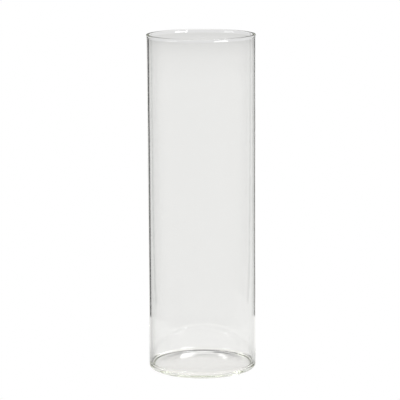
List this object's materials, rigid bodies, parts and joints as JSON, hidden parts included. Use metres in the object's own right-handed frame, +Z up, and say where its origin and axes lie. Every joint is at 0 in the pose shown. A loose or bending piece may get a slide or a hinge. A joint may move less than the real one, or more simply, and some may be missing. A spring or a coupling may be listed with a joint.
{
  "type": "glass cylinder vase",
  "caption": "Tall straight-sided clear glass cylinder vase, open at the top, with a low fire-polished bead round its rim and a flat fused base that it stands on.",
  "frame": {"origin": "centre of the plane that the vase stands on", "axes": "+Z up along the vase's own axis, from the foot to the open mouth. The vase is round, so +X and +Y are arbitrary"},
  "size_m": [0.0804, 0.0804, 0.25],
  "materials": {
    "clear_glass": "clear, fire-polished, smooth, with a slight green-grey tint along the edges"
  },
  "bodies": {
    "root": {"base_disc": "clear_glass", "glass_tube": "clear_glass"}
  },
  "joints": []
}
